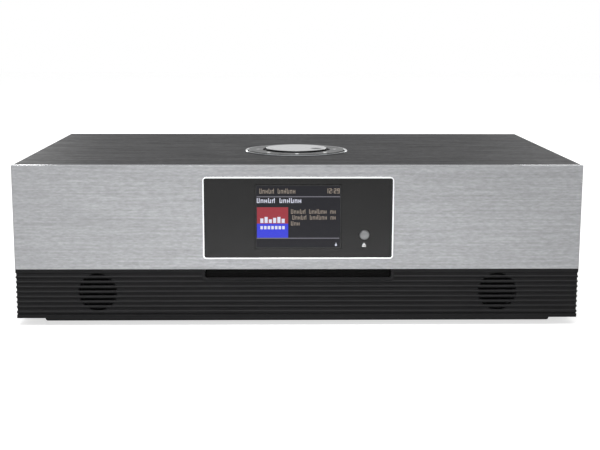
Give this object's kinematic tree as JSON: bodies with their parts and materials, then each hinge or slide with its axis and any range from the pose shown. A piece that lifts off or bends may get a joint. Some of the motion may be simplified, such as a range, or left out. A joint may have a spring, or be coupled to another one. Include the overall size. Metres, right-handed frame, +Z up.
{
  "type": "tabletop radio with disc player",
  "caption": "Mains tabletop radio: dark cabinet, brushed aluminium fascia with colour display, ribbed base with disc slot, top knob in a ring of keys.",
  "frame": {"origin": "on the floor under the middle of the box round the radio", "axes": "+X to the radio's right as seen from the front, +Y to its back, +Z up"},
  "size_m": [0.42, 0.2446, 0.1235],
  "materials": {
    "foil_board": "dark charcoal foil with a fine brushed grain",
    "brushed_aluminium": "brushed along its length",
    "polished_trim": "bright polished",
    "tinted_acrylic": "dark tinted acrylic",
    "display_glass": "colour display",
    "black_abs": "moulded black plastic, fine texture",
    "grey_key": "satin grey painted plastic",
    "silver_button": "satin silver painted plastic",
    "knob_metal": "satin turned",
    "steel_shaft": "bright steel",
    "zinc_sheet": "zinc plated sheet",
    "circuit_board": "green glass fibre board",
    "inner_plastic": "black engineering plastic",
    "paper_cone": "pressed paper",
    "soft_rubber": "black rubber",
    "grey_felt": "black felt",
    "ferrite": "ferrite and plated steel",
    "softwood": "planed softwood",
    "nickel": "nickel plated"
  },
  "bodies": {
    "radio_case": {"cabinet_top_board": "foil_board", "cabinet_left_board": "foil_board", "cabinet_right_board": "foil_board", "front_fascia": "brushed_aluminium", "window_trim": "polished_trim", "display_lens": "tinted_acrylic", "front_carrier": "black_abs", "display_bracket": "inner_plastic", "tft_panel": "display_glass", "display_board": "circuit_board", "ribbed_skirt": "black_abs", "bottom_tray": "black_abs", "rear_panel": "black_abs", "rear_battens": "softwood", "case_screws": "steel_shaft", "ring_trim": "polished_trim", "control_pod": "inner_plastic", "control_board": "circuit_board", "tact_switches": "inner_plastic", "encoder_body": "inner_plastic", "cd_chassis": "zinc_sheet", "cd_cover": "zinc_sheet", "cd_spindle_motor": "zinc_sheet", "cd_guide_rods": "steel_shaft", "slot_lips": "grey_felt", "main_board": "circuit_board", "power_supply_board": "circuit_board", "line_sockets": "nickel", "jack_sockets": "inner_plastic", "antenna_socket": "nickel", "mains_inlet": "black_abs", "rubber_feet": "soft_rubber", "left_driver_frame": "inner_plastic", "left_driver_magnet": "ferrite", "left_driver_surround": "soft_rubber", "right_driver_frame": "inner_plastic", "right_driver_magnet": "ferrite", "right_driver_surround": "soft_rubber", "sub_frame": "inner_plastic", "sub_magnet": "ferrite", "sub_surround": "soft_rubber"},
    "eject_button": {"eject_button": "silver_button"},
    "knob_press": {"encoder_slider": "steel_shaft"},
    "knob": {"encoder_shaft": "steel_shaft", "knob_core": "inner_plastic", "knob_cap": "knob_metal"},
    "cd_roller": {"cd_roller": "soft_rubber"},
    "cd_turntable": {"cd_turntable": "inner_plastic"},
    "cd_laser_sled": {"cd_laser_sled": "inner_plastic"},
    "left_cone": {"left_driver_cone": "paper_cone"},
    "right_cone": {"right_driver_cone": "paper_cone"},
    "sub_cone": {"sub_cone": "paper_cone"},
    "key_front": {"key_front": "grey_key"},
    "key_front_right": {"key_front_right": "grey_key"},
    "key_right": {"key_right": "grey_key"},
    "key_back_right": {"key_back_right": "grey_key"},
    "key_back": {"key_back": "grey_key"},
    "key_back_left": {"key_back_left": "grey_key"},
    "key_left": {"key_left": "grey_key"},
    "key_front_left": {"key_front_left": "grey_key"}
  },
  "joints": [
    {"name": "eject_press", "type": "slide", "parent": "radio_case", "child": "eject_button", "axis": [0, 1, 0], "range_m": [0, 0.0006], "stiffness_N_per_m": 500, "springref_m": -0.0005},
    {"name": "knob_push", "type": "slide", "parent": "radio_case", "child": "knob_press", "axis": [0, 0, -1], "range_m": [0, 0.0005], "stiffness_N_per_m": 2500, "springref_m": -0.0008},
    {"name": "knob_turn", "type": "hinge", "parent": "knob_press", "child": "knob", "pos_m": [0, -0.02285, 0.12352], "axis": [0, 0, 1], "continuous": true},
    {"name": "disc_feed", "type": "hinge", "parent": "radio_case", "child": "cd_roller", "pos_m": [0, -0.09615, 0.03447], "axis": [1, 0, 0], "continuous": true},
    {"name": "disc_spin", "type": "hinge", "parent": "radio_case", "child": "cd_turntable", "pos_m": [0, -0.02915, 0.0304], "axis": [0, 0, 1], "continuous": true},
    {"name": "laser_travel", "type": "slide", "parent": "radio_case", "child": "cd_laser_sled", "axis": [0, 1, 0], "range_m": [0, 0.034]},
    {"name": "left_cone_stroke", "type": "slide", "parent": "radio_case", "child": "left_cone", "axis": [0, -1, 0], "range_m": [-0.0006, 0.0006], "stiffness_N_per_m": 900},
    {"name": "right_cone_stroke", "type": "slide", "parent": "radio_case", "child": "right_cone", "axis": [0, -1, 0], "range_m": [-0.0006, 0.0006], "stiffness_N_per_m": 900},
    {"name": "sub_cone_stroke", "type": "slide", "parent": "radio_case", "child": "sub_cone", "axis": [0, 0, -1], "range_m": [-0.0015, 0.001], "stiffness_N_per_m": 3000, "springref_m": -0.00003},
    {"name": "key_front_press", "type": "slide", "parent": "radio_case", "child": "key_front", "axis": [0, 0, -1], "range_m": [0, 0.0006], "stiffness_N_per_m": 500, "springref_m": -0.0005},
    {"name": "key_front_right_press", "type": "slide", "parent": "radio_case", "child": "key_front_right", "axis": [0, 0, -1], "range_m": [0, 0.0006], "stiffness_N_per_m": 500, "springref_m": -0.0005},
    {"name": "key_right_press", "type": "slide", "parent": "radio_case", "child": "key_right", "axis": [0, 0, -1], "range_m": [0, 0.0006], "stiffness_N_per_m": 500, "springref_m": -0.0005},
    {"name": "key_back_right_press", "type": "slide", "parent": "radio_case", "child": "key_back_right", "axis": [0, 0, -1], "range_m": [0, 0.0006], "stiffness_N_per_m": 500, "springref_m": -0.0005},
    {"name": "key_back_press", "type": "slide", "parent": "radio_case", "child": "key_back", "axis": [0, 0, -1], "range_m": [0, 0.0006], "stiffness_N_per_m": 500, "springref_m": -0.0005},
    {"name": "key_back_left_press", "type": "slide", "parent": "radio_case", "child": "key_back_left", "axis": [0, 0, -1], "range_m": [0, 0.0006], "stiffness_N_per_m": 500, "springref_m": -0.0005},
    {"name": "key_left_press", "type": "slide", "parent": "radio_case", "child": "key_left", "axis": [0, 0, -1], "range_m": [0, 0.0006], "stiffness_N_per_m": 500, "springref_m": -0.0005},
    {"name": "key_front_left_press", "type": "slide", "parent": "radio_case", "child": "key_front_left", "axis": [0, 0, -1], "range_m": [0, 0.0006], "stiffness_N_per_m": 500, "springref_m": -0.0005}
  ]
}
